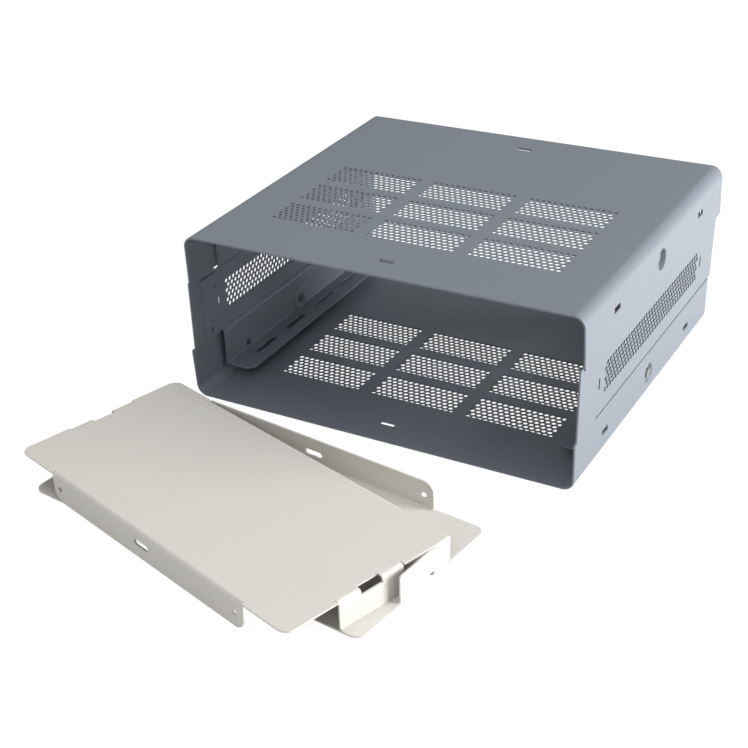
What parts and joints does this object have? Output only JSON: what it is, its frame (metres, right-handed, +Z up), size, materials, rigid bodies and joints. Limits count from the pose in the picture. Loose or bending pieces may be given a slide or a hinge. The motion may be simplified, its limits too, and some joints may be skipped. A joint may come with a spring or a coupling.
{
  "type": "sheet metal chassis",
  "caption": "rectangular instrument case of folded sheet metal, open at front and rear, with perforated vents, two folded shells, joggled side panels and two loose cover panels",
  "frame": {"origin": "middle of the chassis's base face, on the surface it stands on", "axes": "+Z up, the open front faces -Y, +X to the right seen from the front"},
  "size_m": [0.3766, 0.5544, 0.14],
  "materials": {
    "shell_paint": "satin powder coat",
    "fastener": "dark plated",
    "cover_paint": "satin powder coat"
  },
  "bodies": {
    "root": {"top_shell": "shell_paint", "bottom_shell": "shell_paint", "right_side_panel": "shell_paint", "left_side_panel": "shell_paint", "front_left_bracket": "shell_paint", "front_right_bracket": "shell_paint", "rear_left_bracket": "shell_paint", "rear_right_bracket": "shell_paint", "upper_right_screw": "fastener", "upper_left_screw": "fastener", "lower_right_screw": "fastener", "lower_left_screw": "fastener", "upper_right_nut": "fastener", "upper_left_nut": "fastener", "lower_right_nut": "fastener", "lower_left_nut": "fastener", "upper_cover_panel": "cover_paint", "lower_cover_panel": "cover_paint"}
  },
  "joints": []
}
